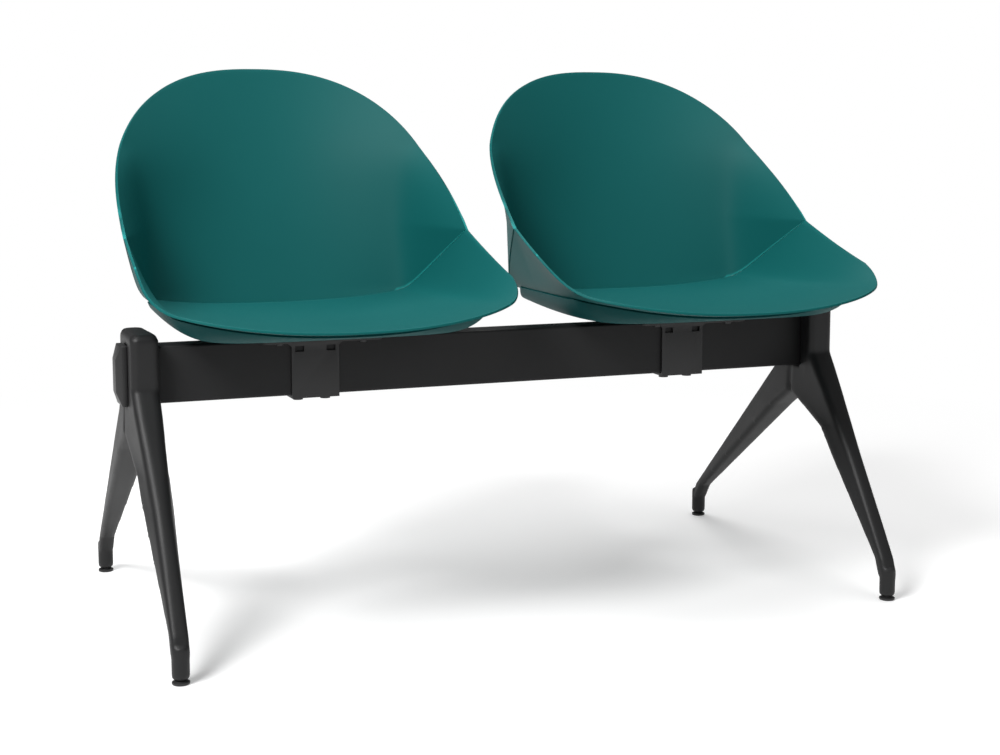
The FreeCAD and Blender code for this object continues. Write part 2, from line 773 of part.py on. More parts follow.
def fold_share(along):
    """How far along the fold a place is, from its front end (0) to its rear end (1)."""
    return (along + size("fold_front_reach")) / (size("fold_rear_reach") + size("fold_front_reach"))


def fold_half_width(along):
    """Half the floor's width, where it turns up into the wings."""
    front = size("fold_front_half_width")
    return front + (size("fold_rear_half_width") - front) * fold_share(along)


def fold_height(along):
    rear = size("fold_rear_height")
    share = min(1.2, max(0.0, 1 - fold_share(along)))
    return rear + (size("fold_front_height") - rear) * share ** 2.3


def seat_height(across, along):
    """The seat's upper surface: a shallow dish, and wings that rise from its fold."""
    low = floor_height(along)
    fold = fold_half_width(along)
    dish = low + (fold_height(along) - low) * (abs(across) / fold) ** DISH_POWER
    climb = between(along, -size("wing_reach"), size("apex_reach"), 0.0, 1.0)
    slope = size("wing_slope") * climb ** 1.1
    return dish + slope * soft_bend(abs(across) - fold, size("fold_round"))


def mirrored(half):
    """Places on both sides of the middle, from the places on one side."""
    return [-across for across in reversed(half[1:])] + list(half)


def seat_row(along):
    fold = fold_half_width(along)
    flare = size("rim_half_width") + BEYOND_RIM - fold
    half = [fold * share for share in FLOOR_SHARES]
    half += [fold + flare * share for share in WING_SHARES]
    return [Vector(across, along, seat_height(across, along)) for across in mirrored(half)]


def back_wrap(height):
    """How far the back's sides have come forward at its vertical folds."""
    widest = size("back_wide_height")
    if height > widest:
        return between(height, widest, size("back_top_height"), size("back_wrap_wide"), size("back_wrap_top"))
    return between(height, size("fold_rear_height"), widest, size("back_wrap_low"), size("back_wrap_wide"))


def back_point(across, height, clearance=0.0):
    """A point of the back's inner surface: it leans back, and its side panels turn forward."""
    fold = size("fold_rear_half_width")
    middle = size("crease_reach") + size("back_lean") * (height - size("crease_height"))
    wrap = back_wrap(height) * (across / fold) ** 2
    fade = between(height, size("apex_height"), size("apex_height") + size("back_side_fade"), 1.0, 0.0)
    slope = size("back_side_slope") * fade ** 1.25
    panel = slope * soft_bend(abs(across) - fold, size("back_fold_round"))
    return Vector(across, middle - wrap - panel - clearance, height)


def back_row(height, clearance=0.0):
    fold = size("fold_rear_half_width")
    places = mirrored([fold * share for share in BACK_SHARES])
    return [back_point(across, height, clearance) for across in places]


def superellipse_arc(half_width, reach, power, count):
    """Points of a quarter superellipse, from (half_width, 0) to (0, reach)."""
    points = []
    for step in range(count + 1):
        angle = math.pi / 2 * step / count
        points.append((
            half_width * math.cos(angle) ** (2 / power),
            reach * math.sin(angle) ** (2 / power),
        ))
    return points


def smooth_edge(points):
    curve = Part.BSplineCurve()
    curve.interpolate(points)
    return curve.toShape()


def plan_prism(front_half, rear_half, reach, low, high):
    """An upright block with the seat's plan: straight sides and a round front."""
    corner_y = size("lip_corner_reach") - size("lip_reach")
    quarter = superellipse_arc(front_half, reach, LIP_POWER, 10)
    right = [Vector(across, corner_y - forward, low) for across, forward in quarter]
    left = [Vector(-point.x, point.y, low) for point in reversed(right[:-1])]
    rear = size("crease_reach") + 60.0
    edges = [
        smooth_edge(right + left),
        Part.makeLine(left[-1], Vector(-rear_half, rear, low)),
        Part.makeLine(Vector(-rear_half, rear, low), Vector(rear_half, rear, low)),
        Part.makeLine(Vector(rear_half, rear, low), right[0]),
    ]
    return Part.Face(Part.Wire(edges)).extrude(Vector(0, 0, high - low))


def rows_between(first, last, count):
    return [first + (last - first) * step / (count - 1) for step in range(count)]


def back_skin(clearance=0.0):
    """The back's inner surface, from below the tray to past the back's top."""
    levels = rows_between(-20.0, size("back_height") + 12.0, 24)
    return skin([back_row(level, clearance) for level in levels])


def behind_back(clearance):
    """All the space behind the back's inner surface."""
    return thickened(back_skin(clearance), BEHIND_BACK)


def back_shell_shape():
    height = size("back_height")
    apex = size("apex_height")
    half = size("rim_half_width")
    shell = thickened(back_skin(), size("back_thickness"))
    quarter = superellipse_arc(half, height - apex, RIM_POWER, 12)
    right = [Vector(across, -200.0, apex + upward) for across, upward in quarter]
    left = [Vector(-point.x, point.y, point.z) for point in reversed(right[:-1])]
    low = size("back_low_edge")
    wide = half + 40.0
    edges = [
        smooth_edge(right + left),
        Part.makePolygon([
            left[-1], Vector(-wide, -200.0, apex - 1.0), Vector(-wide, -200.0, low),
            Vector(wide, -200.0, low), Vector(wide, -200.0, apex - 1.0), right[0],
        ]),
    ]
    outline = Part.Face(Part.Wire(edges)).extrude(Vector(0, 700.0, 0))
    behind = size("crease_reach") + 200.0
    seam_y = size("fold_rear_reach") - 5.0
    side_points = [
        (size("apex_reach") - 1.0, apex + 1.0),
        (seam_y, size("fold_rear_height") - 1.5),
        (seam_y + 4.0, low - 1.0),
        (behind, low - 1.0),
        (behind, height + 20.0),
        (size("apex_reach") - 1.0, height + 20.0),
    ]
    corners = [Vector(-wide, along, upward) for along, upward in side_points]
    side = Part.Face(Part.makePolygon(corners + corners[:1])).extrude(Vector(2 * wide, 0, 0))
    shell = largest(shell.common(outline).common(side))
    for step in (-1, 1):
        shell = shell.cut(back_screw_tool(step, size("beam_clearance")))
    return largest(shell)


def back_screw_height():
    return floor_height(size("crease_reach") - 15.0) - size("shell_thickness") - 3.6


def back_screw_start(step):
    """Where the axis of a back screw crosses the back's inner surface."""
    return back_point(step * size("back_screw_x"), back_screw_height())


def back_screw_tool(step, clearance):
    start = back_screw_start(step)
    start.y -= size("back_screw_length")
    return Part.makeCylinder(
        size("back_screw_radius") + clearance, size("back_screw_length") + 20.0,
        start, Vector(0, 1, 0))


def below_rim():
    """All the space under the wings' upper edges, which rise in a line from the lip."""
    rear = size("crease_reach") + 60.0
    front = -size("lip_reach") - 30.0
    low = -50.0
    profile = [
        (rear, size("apex_height")),
        (size("apex_reach"), size("apex_height")),
        (-size("wing_middle_reach"), size("wing_middle_height")),
        (-size("wing_front_reach"), size("wing_front_height")),
        (front, size("wing_front_height")),
        (front, low),
        (rear, low),
    ]
    wide = size("rim_half_width") + 40.0
    corners = [Vector(-wide, along, height) for along, height in profile]
    return Part.Face(Part.makePolygon(corners + corners[:1])).extrude(Vector(2 * wide, 0, 0))


def seat_shell_shape():
    front = -size("lip_reach") - 12.0
    rear = size("crease_reach") + 15.0
    rows = [seat_row(along) for along in rows_between(front, rear, 18)]
    shell = thickened(skin(rows), size("shell_thickness"))
    half = size("lip_half_width")
    shell = shell.common(below_rim())
    shell = shell.common(plan_prism(
        half, half + 2 * BEYOND_RIM, size("lip_corner_reach"), -50.0, 300.0))
    shell = largest(shell.cut(behind_back(size("fit_gap"))))
    for across, along in seat_screw_places():
        shell = shell.cut(Part.makeCylinder(
            size("seat_screw_radius"), floor_height(along) - 1.0, Vector(across, along, 0)))
    return largest(shell)


def tray_height(along):
    """The tray's underside along its middle."""
    if along < 0:
        return size("fit_gap") + size("tray_front_rise") * (along / size("tray_reach")) ** 2
    return size("fit_gap") + size("tray_rear_rise") * (along / size("crease_reach")) ** 2


def tray_half_width(along):
    return fold_half_width(along) - size("tray_inset")


def tray_radius(across, along):
    """0 in the tray's middle and 1 on its outline."""
    corner_y = size("lip_corner_reach") - size("lip_reach")
    if along > corner_y:
        return abs(across) / tray_half_width(along)
    wide = abs(across) / tray_half_width(corner_y)
    forward = (corner_y - along) / (size("tray_reach") + corner_y)
    return (wide ** LIP_POWER + forward ** LIP_POWER) ** (1 / LIP_POWER)


def tray_point(across, along):
    """A point of the tray's upper surface, which rises to the seat all round its outline."""
    low = tray_height(along) + size("tray_thickness")
    edge = seat_height(across, along) - 1.5 * size("shell_thickness")
    share = min(1.08, tray_radius(across, along)) ** TRAY_POWER
    return Vector(across, along, low + (edge - low) * share)


def tray_shape():
    """The closed pan that hugs the seat from below, with bosses for the back's screws."""
    corner_y = size("lip_corner_reach") - size("lip_reach")
    front_rows = rows_between(-size("tray_reach") - 8.0, corner_y, 9)
    rear = size("crease_reach") + 60.0
    rear_rows = rows_between(corner_y, size("crease_reach") + 15.0, 9)
    rows = []
    for along in front_rows + rear_rows[1:]:
        places = mirrored([tray_half_width(along) * share for share in TRAY_SHARES])
        rows.append([tray_point(across, along) for across in places])
    pan = thickened(skin(rows), size("tray_thickness"))
    pan = pan.common(plan_prism(
        tray_half_width(corner_y), tray_half_width(rear), size("tray_reach") + corner_y, -50.0, 300.0))
    width = size("back_boss_width")
    for step in (-1, 1):
        start = back_screw_start(step)
        low = tray_height(start.y - 14.0) + 1.0
        high = floor_height(start.y - size("back_screw_length")) - size("shell_thickness") - 0.3
        boss = Part.makeBox(width, size("back_screw_length") + 12.0, high - low,
                            Vector(start.x - width / 2, start.y - size("back_screw_length") - 4.0, low))
        pan = pan.fuse(boss)
    pan = largest(pan.cut(behind_back(size("fit_gap"))))
    for step in (-1, 1):
        pan = pan.cut(back_screw_tool(step, 0.0))
    for across, along in seat_screw_places():
        pan = pan.cut(Part.makeCylinder(
            size("seat_screw_radius") + size("beam_clearance"), 40.0, Vector(across, along, -10.0)))
    return largest(pan)


def spacer_shape(across, along):
    """A ring between the tray and the seat's underside, round one seat screw."""
    edges = [along - size("seat_spacer_radius"), along + size("seat_spacer_radius")]
    low = max(tray_height(edge) for edge in edges) + size("tray_thickness") + 0.2
    high = min(floor_height(edge) for edge in edges) - size("shell_thickness") - 0.1
    ring = Part.makeCylinder(size("seat_spacer_radius"), high - low, Vector(across, along, low))
    bore = Part.makeCylinder(size("seat_screw_radius") + size("beam_clearance"), high - low + 2.0,
                             Vector(across, along, low - 1.0))
    return ring.cut(bore)


def seat_screw_shape(across, along):
    """A pan-head screw from under the plate up into the seat's floor."""
    under = -size("fit_gap") - size("plate_thickness")
    head = size("seat_screw_head")
    shank = Part.makeCylinder(size("seat_screw_radius"), floor_height(along) - 1.2 - under + 1.0,
                              Vector(across, along, under - 1.0))
    cap = Part.makeCylinder(size("seat_screw_head_radius"), head, Vector(across, along, under - head))
    return shank.fuse(cap).removeSplitter()


def back_screw_shape(step):
    """A screw from behind the back into the tray's boss."""
    start = back_screw_start(step)
    outer = start.y + size("back_thickness") + 2.6
    shank = Part.makeCylinder(size("back_screw_radius"), outer - start.y + size("back_screw_length") - 1.0,
                              Vector(start.x, start.y - size("back_screw_length") + 1.0, start.z),
                              Vector(0, 1, 0))
    head = Part.makeCylinder(2 * size("back_screw_radius"), 2.5, Vector(start.x, outer, start.z),
                             Vector(0, 1, 0))
    return shank.fuse(head).removeSplitter()


def make_moulding(name, shape, label):
    """A moulded piece of one seat, put on its plate."""
    item = doc.addObject("Part::Feature", f"{label}_moulded")
    item.Shape = shape
    place(item, (SEAT_CENTRE[name], "Sizes.beam_centre_y", f"{PLATE_TOP} + Sizes.fit_gap"))
    sub_part(item, label)


# Levelling glides: a screwed stem that turns in a plastic pad

def make_glide(name, side, end):
    foot = (LEG_CENTRE[side], f"({end}) * Sizes.foot_spread / 2", 0)
    clearance = "Sizes.running_clearance"
    pocket_top = f"(Sizes.glide_base + Sizes.glide_flange + 4 * {clearance})"
    pad_outline = [
        ("0.001", "0.001"),
        ("Sizes.glide_radius - 1", "0.001"),
        ("Sizes.glide_radius", "1"),
        ("Sizes.glide_radius", "Sizes.glide_height - 2"),
        ("Sizes.glide_radius - 3.5", "Sizes.glide_height"),
        (f"Sizes.stem_radius + {clearance}", "Sizes.glide_height"),
        (f"Sizes.stem_radius + {clearance}", pocket_top),
        (f"Sizes.glide_flange_radius + 6 * {clearance}", pocket_top),
        (f"Sizes.glide_flange_radius + 6 * {clearance}", "Sizes.glide_base"),
        ("0.001", "Sizes.glide_base"),
    ]
    flange_low = f"(Sizes.glide_base + 2 * {clearance})"
    stem_outline = [
        ("0.001", flange_low),
        ("Sizes.glide_flange_radius", flange_low),
        ("Sizes.glide_flange_radius", f"{flange_low} + Sizes.glide_flange - {clearance}"),
        ("Sizes.stem_radius", f"{flange_low} + Sizes.glide_flange - {clearance}"),
        ("Sizes.stem_radius", f"Sizes.glide_height + 2 * {clearance}"),
        ("Sizes.stem_collar_radius", f"Sizes.glide_height + 2 * {clearance}"),
        ("Sizes.stem_collar_radius", f"Sizes.ankle_bottom - 2 * {clearance}"),
        ("Sizes.stem_radius", f"Sizes.ankle_bottom - 2 * {clearance}"),
        ("Sizes.stem_radius", "Sizes.stem_length - 1"),
        ("Sizes.stem_radius - 1", "Sizes.stem_length"),
        ("0.001", "Sizes.stem_length"),
    ]
    sub_part(turned_body(f"pad_{name}", pad_outline, foot), f"glide_pad_{name}")
    sub_part(turned_body(f"stem_{name}", stem_outline, foot), f"glide_stem_{name}")


make_drilled_beam()
for name, side in SEAT_SIDES.items():
    make_leg(name, side)
    make_end_cap(name, side)
    make_leg_fixings(name, side)
    make_saddle(name)
    make_saddle_fixings(name)
    make_support_plate(name)

mouldings = {
    "back_shell": back_shell_shape(),
    "seat_shell": seat_shell_shape(),
    "seat_tray": tray_shape(),
    "seat_spacers": Part.Compound([spacer_shape(*spot) for spot in seat_screw_places()]),
    "seat_screws": Part.Compound([seat_screw_shape(*spot) for spot in seat_screw_places()]),
    "back_screws": Part.Compound([back_screw_shape(step) for step in (-1, 1)]),
}
for name in SEAT_SIDES:
    for label, shape in mouldings.items():
        make_moulding(name, shape.copy(), f"{label}_{name}")
for name, (side, end) in FOOT_CORNERS.items():
    make_glide(name, side, end)

doc.recompute()

# Check every object and write one file for each sub-part

for item in doc.Objects:
    if "Invalid" in item.State or "Error" in item.State:
        raise RuntimeError(f"{item.Name} failed: {item.State}")
os.makedirs("parts", exist_ok=True)
for item in sub_parts:
    shape = item.Shape
    if shape.isNull() or not shape.isValid() or not shape.Solids:
        raise RuntimeError(f"{item.Label} has no valid solid")
    box = shape.optimalBoundingBox(False)
    print(f"{item.Label:24s} {len(shape.Solids)} {shape.Volume / 1000:9.2f} cm3 "
          f"X {box.XMin:.1f} {box.XMax:.1f} Y {box.YMin:.1f} {box.YMax:.1f} Z {box.ZMin:.1f} {box.ZMax:.1f}")
    shape.exportStep(f"parts/{item.Label}.step")
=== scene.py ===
import bpy
import json
import math
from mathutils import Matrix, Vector


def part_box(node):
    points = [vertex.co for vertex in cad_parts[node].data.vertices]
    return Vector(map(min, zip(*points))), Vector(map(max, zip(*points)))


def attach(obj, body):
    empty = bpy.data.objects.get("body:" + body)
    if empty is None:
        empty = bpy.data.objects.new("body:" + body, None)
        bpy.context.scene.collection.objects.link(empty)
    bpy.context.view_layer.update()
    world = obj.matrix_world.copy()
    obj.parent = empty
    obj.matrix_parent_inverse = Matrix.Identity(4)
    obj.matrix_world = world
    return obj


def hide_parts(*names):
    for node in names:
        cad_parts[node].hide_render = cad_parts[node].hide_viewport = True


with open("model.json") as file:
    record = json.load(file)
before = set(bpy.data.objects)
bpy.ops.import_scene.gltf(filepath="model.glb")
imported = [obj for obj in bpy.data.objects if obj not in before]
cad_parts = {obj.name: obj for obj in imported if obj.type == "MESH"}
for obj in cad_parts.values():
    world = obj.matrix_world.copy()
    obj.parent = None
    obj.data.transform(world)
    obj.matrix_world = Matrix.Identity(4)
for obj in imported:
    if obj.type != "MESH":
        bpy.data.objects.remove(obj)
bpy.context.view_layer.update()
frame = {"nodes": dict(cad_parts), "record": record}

# Beam seating: two teal shell seats on a black beam with two cast legs.
# Metres, in the frame of the CAD model: +X along the beam, -Y the front, +Z up.

SIDES = ("left", "right")

# Camera, solved from the photograph
CAMERA_PLACE = (-0.9385, -2.4340, 0.7183)
CAMERA_TURN = (90.0 - 7.113, 0.0, -21.603)
CAMERA_LENS = 62.89
CAMERA_SENSOR = 36.0
CAMERA_SHIFT_UP = -0.0474
CAMERA_FAR = 100.0

# Studio
WHITE = (1, 1, 1, 1)
FLOOR_SIZE = 60
FLOOR_DROP = 0.0002
FLOOR_SHADE = (0.30, 0.30, 0.30)
FLOOR_SEEN_SHADE = (0.86, 0.86, 0.86)
FLOOR_ROUGHNESS = 0.9
FLOOR_FADE = (0.9, 2.2)
FLOOR_LIFT = 0.27
WORLD_STRENGTH = 0.19
# Each lamp's name, place, aim, width and watts
LAMPS = (
    ("key", (-2.4, -1.5, 3.0), (0, 0, 0.4), 1.3, 150),
    ("fill", (1.2, -3.0, 1.4), (0, 0, 0.4), 2.0, 9),
    ("top", (0.3, 0.5, 3.2), (0, 0, 0.5), 2.2, 62),
)

# Seat, from the beam's middle and the top of its plate
RIM_HALF_WIDTH = 0.2497
RIM_SPREAD = 0.0051
RIM_SPREAD_LENGTH = 0.121
SHELL_THICKNESS = 0.0036
BACK_THICKNESS = 0.0046
EDGE_ROUND = 0.0013
LIP_HALF_WIDTH = 0.2570
LIP_REACH = 0.2590
LIP_HEIGHT = 0.0304
LIP_CORNER_Y = -0.1095
LIP_POWER = 2.6
FLOOR_LOW = 0.0104
FLOOR_LOW_Y = 0.020
CREASE_REACH = 0.2075
CREASE_HEIGHT = 0.0224
APEX_REACH = 0.0375
APEX_HEIGHT = 0.1372
FOLD_FRONT_HALF_WIDTH = 0.226
FOLD_REAR_HALF_WIDTH = 0.205
FOLD_FRONT_REACH = 0.2025
FOLD_REAR_REACH = 0.1795
FOLD_FRONT_HEIGHT = 0.0534
FOLD_REAR_HEIGHT = 0.0394
FOLD_ROUND = 0.005
FOLD_SHARE_LIMIT = 1.2
FOLD_HEIGHT_POWER = 2.3
DISH_POWER = 2.2
WING_SLOPE = 2.28
WING_POWER = 1.1
BACK_HEIGHT = 0.3765
BACK_LEAN = 0.321
BACK_BOTTOM = 0.0064
BACK_WRAP_LOW = 0.036
BACK_WRAP_WIDE = 0.078
BACK_WRAP_TOP = 0.058
BACK_WIDE_HEIGHT = 0.238
BACK_TOP_HEIGHT = 0.345
BACK_WRAP_ROUND = 0.018
BACK_SIDE_SLOPE = 2.75
BACK_SIDE_FADE = 0.125
BACK_SIDE_POWER = 1.25
BACK_FOLD_ROUND = 0.007
RIM_POWER = 2.43
TRAY_INSET = 0.0035
TRAY_REACH = 0.2260
TRAY_FRONT_RISE = 0.0174
TRAY_REAR_RISE = 0.010
TRAY_THICKNESS = 0.003
TRAY_POWER = 8
TRAY_LOW = 0.0003
TRAY_REAR_HEIGHT = 0.025
TRAY_REAR_GAP = 0.004
TRAY_EDGE_DEPTH = 1.02
PLATE_GAP = 0.0003
SEAM_GAP = 0.0009
FOOT_RISE = (0.135, 0.188)

# Seat meshes: columns and rows, how they crowd, and how far a seam is looked for
BACK_GRID = (96, 56)
SEAT_GRID = (96, 64)
TRAY_GRID = (72, 44)
FOLD_COLUMN = 0.68
FLOOR_COLUMN_POWER = 1.6
WING_COLUMN_POWER = 1.4
TRAY_ROW_POWER = 1.7
HALVINGS = 26
SEAM_SEARCH_HEIGHT = 0.16
SEAM_SEARCH_REACH = 0.24
BACK_MIDDLE_HEIGHT = 0.2
SKIN_MERGE = 0.00002
SEAT_COLUMNS = {}

# Edges, as rounds in metres and angles in degrees
BEVEL_SEGMENTS = 3
EDGE_SHARE = 0.35
MOULDING_EDGE_ANGLE = 55
MOULDING_SMOOTH_ANGLE = 38
CAD_EDGE_ANGLE = 28
CAD_SMOOTH_ANGLE = 35
CAD_FLAT_ANGLE = 0.5
CAD_MERGE = 0.00001
CAP_ROUND = 0.0010
SADDLE_ROUND = 0.0007
PLATE_ROUND = 0.0008
BEAM_ROUND = 0.0005

# Legs: the casting is remeshed, smoothed, swollen back to size and smoothed again
LEG_VOXEL = 0.0020
LEG_SMOOTHING = 0.5
LEG_FIRST_SMOOTHS = 14
LEG_LAST_SMOOTHS = 5
LEG_SWELL = 0.0013
LEG_SMOOTH_ANGLE = 60
BORE_SIDES = 48
BORE_RADIUS = 0.0050
BORE_DEPTH = 0.040
BORE_MIDDLE = 0.021

# Finishes
FINE_DETAIL = 3.0
PATCH_DETAIL = 4.0
PATCH_ROUGHNESS = 0.6
# Pointiness over which the painted highlight on the edges rises
EDGE_POINTINESS = (0.51, 0.60)


# Working in Blender as by hand

def deselect():
    if bpy.context.object and bpy.context.object.mode != "OBJECT":
        bpy.ops.object.mode_set(mode="OBJECT")
    bpy.ops.object.select_all(action="DESELECT")


def take(piece):
    """Select one piece alone and make it active."""
    deselect()
    piece.select_set(True)
    bpy.context.view_layer.objects.active = piece
    return piece


def apply_modifier(piece, kind, **settings):
    take(piece)
    bpy.ops.object.modifier_add(type=kind)
    modifier = piece.modifiers[-1]
    for name, value in settings.items():
        setattr(modifier, name, value)
    bpy.ops.object.modifier_apply(modifier=modifier.name)


def smooth(piece, degrees):
    take(piece)
    bpy.ops.object.shade_smooth_by_angle(angle=math.radians(degrees), keep_sharp_edges=False)


def between(now, first, last, first_value, last_value):
    """The value on the straight line between two ends, held beyond them."""
    share = min(1.0, max(0.0, (now - first) / (last - first)))
    return first_value + (last_value - first_value) * share


def eased(now, first, last):
    """0 before first, 1 after last, and a soft step between."""
    share = min(1.0, max(0.0, (now - first) / (last - first)))
    return share * share * (3 - 2 * share)


def mapped_grid(name, columns, rows, place):
    """A grid primitive whose vertices are moved to place(across, along), both from 0 to 1."""
    deselect()
    bpy.ops.mesh.primitive_grid_add(x_subdivisions=columns, y_subdivisions=rows, size=2)
    piece = bpy.context.object
    piece.name = name
    for vertex in piece.data.vertices:
        vertex.co = place((vertex.co.x + 1) / 2, (vertex.co.y + 1) / 2)
    return piece


# The seat's surfaces, in the seat's own frame

def soft_bend(distance, width):
    """A rounded corner between a flat line and one that rises at 45 degrees."""
    return width * math.log(1 + math.exp(distance / width))


def crossing(rule, low, high):
    """Where a rule that is positive at low turns negative."""
    for _ in range(HALVINGS):
        middle = (low + high) / 2
        if rule(middle) > 0:
            low = middle
        else:
            high = middle
    return low


def floor_height(along):
    if along < FLOOR_LOW_Y:
        share = (FLOOR_LOW_Y - along) / (FLOOR_LOW_Y + LIP_REACH)
        return FLOOR_LOW + (LIP_HEIGHT - FLOOR_LOW) * share ** 2
    share = (along - FLOOR_LOW_Y) / (CREASE_REACH - FLOOR_LOW_Y)
    return FLOOR_LOW + (CREASE_HEIGHT - FLOOR_LOW) * share ** 2


def fold_share(along):
    return (along + FOLD_FRONT_REACH) / (FOLD_REAR_REACH + FOLD_FRONT_REACH)


def fold_half_width(along):
    """Half the floor's width, where it turns up into the wings."""
    spread = FOLD_REAR_HALF_WIDTH - FOLD_FRONT_HALF_WIDTH
    return FOLD_FRONT_HALF_WIDTH + spread * fold_share(along)


def fold_height(along):
    share = min(FOLD_SHARE_LIMIT, max(0.0, 1 - fold_share(along)))
    return FOLD_REAR_HEIGHT + (FOLD_FRONT_HEIGHT - FOLD_REAR_HEIGHT) * share ** FOLD_HEIGHT_POWER


def rim_half_width(along):
    share = max(0.0, (APEX_REACH - along) / RIM_SPREAD_LENGTH)
    return RIM_HALF_WIDTH + RIM_SPREAD * share


def seat_height(across, along):
    """The seat's upper surface: a shallow dish, and wings that rise from its fold."""
    low = floor_height(along)
    fold = fold_half_width(along)
    dish = low + (fold_height(along) - low) * (abs(across) / fold) ** DISH_POWER
    climb = between(along, -FOLD_FRONT_REACH, APEX_REACH, 0.0, 1.0)
    return dish + WING_SLOPE * climb ** WING_POWER * soft_bend(abs(across) - fold, FOLD_ROUND)


def back_wrap(height):
    """How far the back's sides have come forward at its vertical folds."""
    rising = (BACK_WRAP_WIDE - BACK_WRAP_LOW) / (BACK_WIDE_HEIGHT - FOLD_REAR_HEIGHT)
    falling = (BACK_WRAP_WIDE - BACK_WRAP_TOP) / (BACK_TOP_HEIGHT - BACK_WIDE_HEIGHT)
    above = max(0.0, height - FOLD_REAR_HEIGHT)
    turn = soft_bend(height - BACK_WIDE_HEIGHT, BACK_WRAP_ROUND)
    return BACK_WRAP_LOW + rising * above - (rising + falling) * turn


def back_point(across, height):
    """A point of the back's inner surface: it leans back, and its sides turn forward."""
    middle = CREASE_REACH + BACK_LEAN * (height - CREASE_HEIGHT)
    wrap = back_wrap(height) * (across / FOLD_REAR_HALF_WIDTH) ** 2
    fade = between(height, APEX_HEIGHT, APEX_HEIGHT + BACK_SIDE_FADE, 1.0, 0.0)
    past_fold = soft_bend(abs(across) - FOLD_REAR_HALF_WIDTH, BACK_FOLD_ROUND)
    panel = BACK_SIDE_SLOPE * fade ** BACK_SIDE_POWER * past_fold
    return Vector((across, middle - wrap - panel, height))


def superellipse(turn, power):
    """Across and forward shares of a quarter superellipse, turn from 0 (side) to 1 (front)."""
    angle = turn * math.pi / 2
    return math.cos(angle) ** (2 / power), math.sin(angle) ** (2 / power)


def mirrored_turn(across):
    """A grid's 0..1 across as a side (-1 or 1) and a quarter turn from that side."""
    side = -1 if across < 0.5 else 1
    return side, 1 - abs(2 * across - 1)


def back_foot(across):
    """The back's lower edge: low behind the tray, then up the seam to the wing's tip."""
    def below_seat(height):
        return seat_height(across, back_point(across, height).y) - height

    seam = crossing(below_seat, 0.0, SEAM_SEARCH_HEIGHT)
    return BACK_BOTTOM + (seam - BACK_BOTTOM) * eased(across, *FOOT_RISE)


def back_shell_place(across, along):
    side, turn = mirrored_turn(across)
    wide, high = superellipse(turn, RIM_POWER)
    x = wide * RIM_HALF_WIDTH
    top = APEX_HEIGHT + (BACK_HEIGHT - APEX_HEIGHT) * high
    foot = min(back_foot(x), top)
    return back_point(side * x, foot + (top - foot) * along)


def seat_across(column, along):
    """Where a column of the seat's mesh stands: on the floor, closer at the fold, up the wing."""
    fold = fold_half_width(along)
    if column < FOLD_COLUMN:
        return fold * (1 - (1 - column / FOLD_COLUMN) ** FLOOR_COLUMN_POWER)
    share = ((column - FOLD_COLUMN) / (1 - FOLD_COLUMN)) ** WING_COLUMN_POWER
    return fold + (rim_half_width(along) - fold) * share


def lip_half_width(along):
    share = min(1.0, max(0.0, (LIP_CORNER_Y - along) / (LIP_REACH + LIP_CORNER_Y)))
    return LIP_HALF_WIDTH * (1 - share ** LIP_POWER) ** (1 / LIP_POWER)


def column_ends(column):
    """The Y of one column's rear end on the seam and of its front end on the lip."""
    def behind(along):
        across = seat_across(column, along)
        return back_point(across, seat_height(across, along)).y - along

    def outside(along):
        return lip_half_width(along) - seat_across(column, along)

    rear = crossing(behind, 0.0, SEAM_SEARCH_REACH) - SEAM_GAP
    front = -crossing(lambda forward: outside(-forward), -LIP_CORNER_Y, LIP_REACH)
    return rear, front


def seat_shell_place(across, along):
    column = abs(2 * across - 1)
    side = -1 if across < 0.5 else 1
    if column not in SEAT_COLUMNS:
        SEAT_COLUMNS[column] = column_ends(column)
    rear, front = SEAT_COLUMNS[column]
    y = rear + (front - rear) * along
    x = seat_across(column, y)
    return Vector((side * x, y, seat_height(x, y)))


def tray_height(along):
    """The tray's underside along its middle."""
    if along < 0:
        return TRAY_LOW + TRAY_FRONT_RISE * (along / TRAY_REACH) ** 2
    return TRAY_LOW + TRAY_REAR_RISE * (along / CREASE_REACH) ** 2


def tray_place(across, along):
    side, turn = mirrored_turn(across)
    wide, forward = superellipse(turn, LIP_POWER)
    share = 1 - (1 - along) ** TRAY_ROW_POWER
    half = fold_half_width(LIP_CORNER_Y) - TRAY_INSET
    front = LIP_CORNER_Y - (TRAY_REACH + LIP_CORNER_Y) * forward
    rear = back_point(wide * half, TRAY_REAR_HEIGHT).y - TRAY_REAR_GAP
    y = rear + (front - rear) * share
    x = wide * min(half, fold_half_width(y) - TRAY_INSET)
    radius = wide
    if y < LIP_CORNER_Y:
        ahead = (LIP_CORNER_Y - y) / (TRAY_REACH + LIP_CORNER_Y)
        radius = (wide ** LIP_POWER + ahead ** LIP_POWER) ** (1 / LIP_POWER)
    low = tray_height(y) + TRAY_THICKNESS
    edge = seat_height(x, y) - TRAY_EDGE_DEPTH * SHELL_THICKNESS
    return Vector((side * x, y, low + (edge - low) * min(1.0, radius) ** TRAY_POWER))


def facing(piece, direction, place):
    """Turn the normals over if the face nearest to a place looks away from a direction."""
    nearest = min(piece.data.polygons, key=lambda face: (face.center - place).length)
    if nearest.normal.dot(direction) < 0:
        take(piece)
        bpy.ops.object.mode_set(mode="EDIT")
        bpy.ops.mesh.select_all(action="SELECT")
        bpy.ops.mesh.flip_normals()
        bpy.ops.object.mode_set(mode="OBJECT")


def put_on_plate(piece, name):
    """Move a seat's piece to its plate, and leave its object at the origin."""
    low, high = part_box(f"support_plate_{name}")
    take(piece)
    piece.location = ((low[0] + high[0]) / 2, (low[1] + high[1]) / 2, high[2] + PLATE_GAP)
    bpy.ops.object.transform_apply(location=True, rotation=True, scale=True)


def finish_piece(piece, material, slot, body, *nodes):
    piece.data.materials.clear()
    piece.data.materials.append(material)
    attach(piece, body)
    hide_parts(*nodes)


